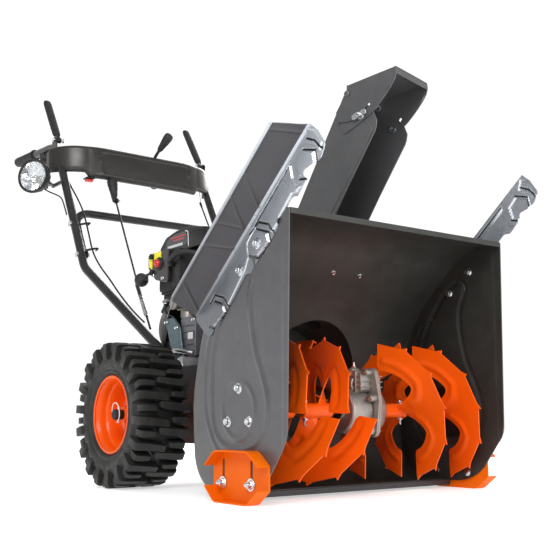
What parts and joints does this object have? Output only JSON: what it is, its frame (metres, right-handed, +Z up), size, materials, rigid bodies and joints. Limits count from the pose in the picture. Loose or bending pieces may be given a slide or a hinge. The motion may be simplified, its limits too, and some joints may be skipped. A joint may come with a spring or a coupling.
{
  "type": "two stage snowblower",
  "caption": "Walk-behind two stage snowblower with serrated ribbon augers in a wide housing, tall turning chute, lugged tyres, drift cutters and a handle panel.",
  "frame": {"origin": "on the ground, under the middle of the whole machine", "axes": "+Z up, machine faces -Y with the handles towards +Y, X across; -X is the right-hand side seen from the operator facing -Y"},
  "size_m": [0.7716, 1.733, 1.198],
  "materials": {
    "auger_paint": "gloss",
    "auger_shaft_steel": "satin",
    "axle_steel": "satin",
    "bearing_iron": "satin",
    "belt_cover_plastic": "matte",
    "belt_rubber": "matte",
    "bolt_zinc": "satin",
    "brace_paint": "satin",
    "bracket_paint": "satin",
    "bronze": "satin",
    "bulb_rubber": "satin",
    "cable_plastic": "matte",
    "chute_paint": "satin",
    "control_plastic": "satin",
    "cutter_steel": "satin",
    "drum_paint": "satin",
    "engine_aluminium": "matte",
    "frame_paint": "satin",
    "fuel_cap_plastic": "matte",
    "gear_lever_plastic": "matte",
    "gearbox_aluminium": "satin",
    "gearbox_screws": "satin",
    "grip_rubber": "matte",
    "handle_bolt_zinc": "satin",
    "handle_paint": "satin",
    "hood_bolt_zinc": "satin",
    "hood_paint": "satin",
    "housing_inside": "satin",
    "impeller_paint": "satin",
    "impeller_shaft_steel": "satin",
    "knob_zinc": "satin",
    "lamp_chrome": "polished",
    "lever_grip": "matte",
    "muffler_steel": "matte",
    "nut_zinc": "satin",
    "oil_cap_plastic": "matte",
    "panel_plastic": "satin",
    "pin_steel": "satin",
    "pulley_steel": "satin",
    "recoil_plastic": "satin",
    "rim_paint": "gloss",
    "scraper_paint": "satin",
    "shear_bolt_zinc": "satin",
    "shift_rod_steel": "satin",
    "shroud_plastic": "gloss",
    "side_plate_paint": "satin",
    "skid_paint": "gloss",
    "starter_grip": "matte",
    "switch_plastic": "gloss",
    "tank_paint": "gloss",
    "throttle_ball": "gloss",
    "tyre": "matte",
    "zinc_steel": "satin"
  },
  "bodies": {
    "chassis": {"auger_housing": "housing_inside", "belt_cover": "belt_cover_plastic", "cables": "cable_plastic", "chute_ring": "zinc_steel", "control_box": "control_plastic", "cross_brace": "brace_paint", "dash_panel": "panel_plastic", "drift_cutter_left": "cutter_steel", "drift_cutter_right": "cutter_steel", "drive_belt": "belt_rubber", "engine_block": "engine_aluminium", "engine_shroud": "shroud_plastic", "fuel_tank": "tank_paint", "gearbox_bolts": "gearbox_screws", "gearbox_case": "gearbox_aluminium", "handle_bolts": "handle_bolt_zinc", "handle_grips": "grip_rubber", "handle_tube_left": "handle_paint", "handle_tube_right": "handle_paint", "housing_bolts": "bolt_zinc", "impeller_housing": "drum_paint", "lamp_bracket": "bracket_paint", "muffler": "muffler_steel", "recoil_starter": "recoil_plastic", "scraper_bar": "scraper_paint", "shaft_bearings": "bearing_iron", "side_plate_left": "side_plate_paint", "side_plate_right": "side_plate_paint", "skid_nuts": "nut_zinc", "transmission_case": "frame_paint"},
    "augers": {"auger_right": "auger_paint", "auger_left": "auger_paint", "auger_shaft": "auger_shaft_steel", "worm_wheel": "bronze", "shear_bolts": "shear_bolt_zinc"},
    "impeller_rotor": {"impeller": "impeller_paint", "impeller_shaft": "impeller_shaft_steel", "impeller_pulley": "pulley_steel"},
    "wheels": {"wheel_axle": "axle_steel", "wheel_rims": "rim_paint", "tyre_right": "tyre", "tyre_left": "tyre", "hub_pins": "pin_steel"},
    "chute": {"discharge_chute": "chute_paint", "hood_bolts": "hood_bolt_zinc"},
    "hood": {"deflector_hood": "hood_paint"},
    "wing_knob": {"hood_knob": "knob_zinc"},
    "skid_right": {"skid_shoe_right": "skid_paint"},
    "skid_left": {"skid_shoe_left": "skid_paint"},
    "lever_right": {"clutch_lever_right": "lever_grip"},
    "lever_left": {"clutch_lever_left": "lever_grip"},
    "gear_control": {"gear_lever": "gear_lever_plastic"},
    "shift_link": {"shift_rod": "shift_rod_steel"},
    "lamp": {"headlight": "lamp_chrome"},
    "switch": {"lamp_switch": "switch_plastic"},
    "pull_grip": {"starter_handle": "starter_grip"},
    "bulb": {"primer_bulb": "bulb_rubber"},
    "tank_cap": {"fuel_cap": "fuel_cap_plastic"},
    "dipstick": {"oil_cap": "oil_cap_plastic"},
    "throttle": {"throttle_lever": "throttle_ball"}
  },
  "joints": [
    {"name": "auger_spin", "type": "hinge", "parent": "chassis", "child": "augers", "pos_m": [0, -0.5715, 0.183], "axis": [1, 0, 0], "continuous": true},
    {"name": "impeller_spin", "type": "hinge", "parent": "chassis", "child": "impeller_rotor", "pos_m": [0, -0.3415, 0.24], "axis": [0, 1, 0], "continuous": true},
    {"name": "wheel_spin", "type": "hinge", "parent": "chassis", "child": "wheels", "pos_m": [0, -0.0485, 0.178], "axis": [1, 0, 0], "continuous": true},
    {"name": "chute_turn", "type": "hinge", "parent": "chassis", "child": "chute", "pos_m": [0, -0.3535, 0.4464], "axis": [0, 0, 1], "range_deg": [-109.4, 80.6]},
    {"name": "hood_tilt", "type": "hinge", "parent": "chute", "child": "hood", "pos_m": [0.05322, -0.56078, 0.916], "axis": [0.9686, 0.2487, 0], "range_deg": [-50, 25]},
    {"name": "wing_knob_turn", "type": "hinge", "parent": "chute", "child": "wing_knob", "pos_m": [-0.00707, -0.61549, 0.856], "axis": [0.9686, 0.2487, 0], "range_deg": [-180, 180]},
    {"name": "skid_right_height", "type": "slide", "parent": "chassis", "child": "skid_right", "axis": [0, 0, 1], "range_m": [-0.04, 0]},
    {"name": "skid_left_height", "type": "slide", "parent": "chassis", "child": "skid_left", "axis": [0, 0, 1], "range_m": [-0.04, 0]},
    {"name": "lever_right_press", "type": "hinge", "parent": "chassis", "child": "lever_right", "pos_m": [-0.26, 0.5315, 1.036], "axis": [-1, 0, 0], "range_deg": [0, 34], "stiffness_Nm_per_rad": 2, "springref_deg": -22.92},
    {"name": "lever_left_press", "type": "hinge", "parent": "chassis", "child": "lever_left", "pos_m": [0.26, 0.5315, 1.036], "axis": [-1, 0, 0], "range_deg": [0, 34], "stiffness_Nm_per_rad": 2, "springref_deg": -22.92},
    {"name": "gear_shift", "type": "hinge", "parent": "chassis", "child": "gear_control", "pos_m": [0, 0.4435, 0.918], "axis": [1, 0, 0], "range_deg": [-10, 10]},
    {"name": "shift_rod_pivot", "type": "hinge", "parent": "gear_control", "child": "shift_link", "pos_m": [-0.116, 0.4095, 0.838], "axis": [1, 0, 0], "range_deg": [-11.6, 11.6]},
    {"name": "lamp_tilt", "type": "hinge", "parent": "chassis", "child": "lamp", "pos_m": [-0.3175, 0.5195, 0.893], "axis": [1, 0, 0], "range_deg": [-10, 10]},
    {"name": "lamp_switch_rock", "type": "hinge", "parent": "chassis", "child": "switch", "pos_m": [-0.186, 0.4575, 0.904], "axis": [1, 0, 0], "range_deg": [-8, 8]},
    {"name": "starter_pull", "type": "slide", "parent": "chassis", "child": "pull_grip", "axis": [0, 1, 0], "range_m": [0, 0.35], "stiffness_N_per_m": 20, "springref_m": -0.4},
    {"name": "primer_press", "type": "slide", "parent": "chassis", "child": "bulb", "axis": [1, 0, 0], "range_m": [0, 0.005], "stiffness_N_per_m": 400, "springref_m": -0.002},
    {"name": "tank_cap_turn", "type": "hinge", "parent": "chassis", "child": "tank_cap", "pos_m": [0.09, -0.0845, 0.715], "axis": [0, 0, 1], "range_deg": [-90, 0]},
    {"name": "dipstick_turn", "type": "hinge", "parent": "chassis", "child": "dipstick", "pos_m": [-0.06, 0.0135, 0.484], "axis": [0, 0, 1], "range_deg": [0, 180]},
    {"name": "throttle_swing", "type": "hinge", "parent": "chassis", "child": "throttle", "pos_m": [-0.209, -0.0025, 0.549], "axis": [1, 0, 0], "range_deg": [-15, 15]}
  ],
  "couplings": [
    {"joint": "impeller_spin", "follows": "auger_spin", "ratio": 10},
    {"joint": "shift_rod_pivot", "follows": "gear_shift", "ratio": -1.144}
  ]
}
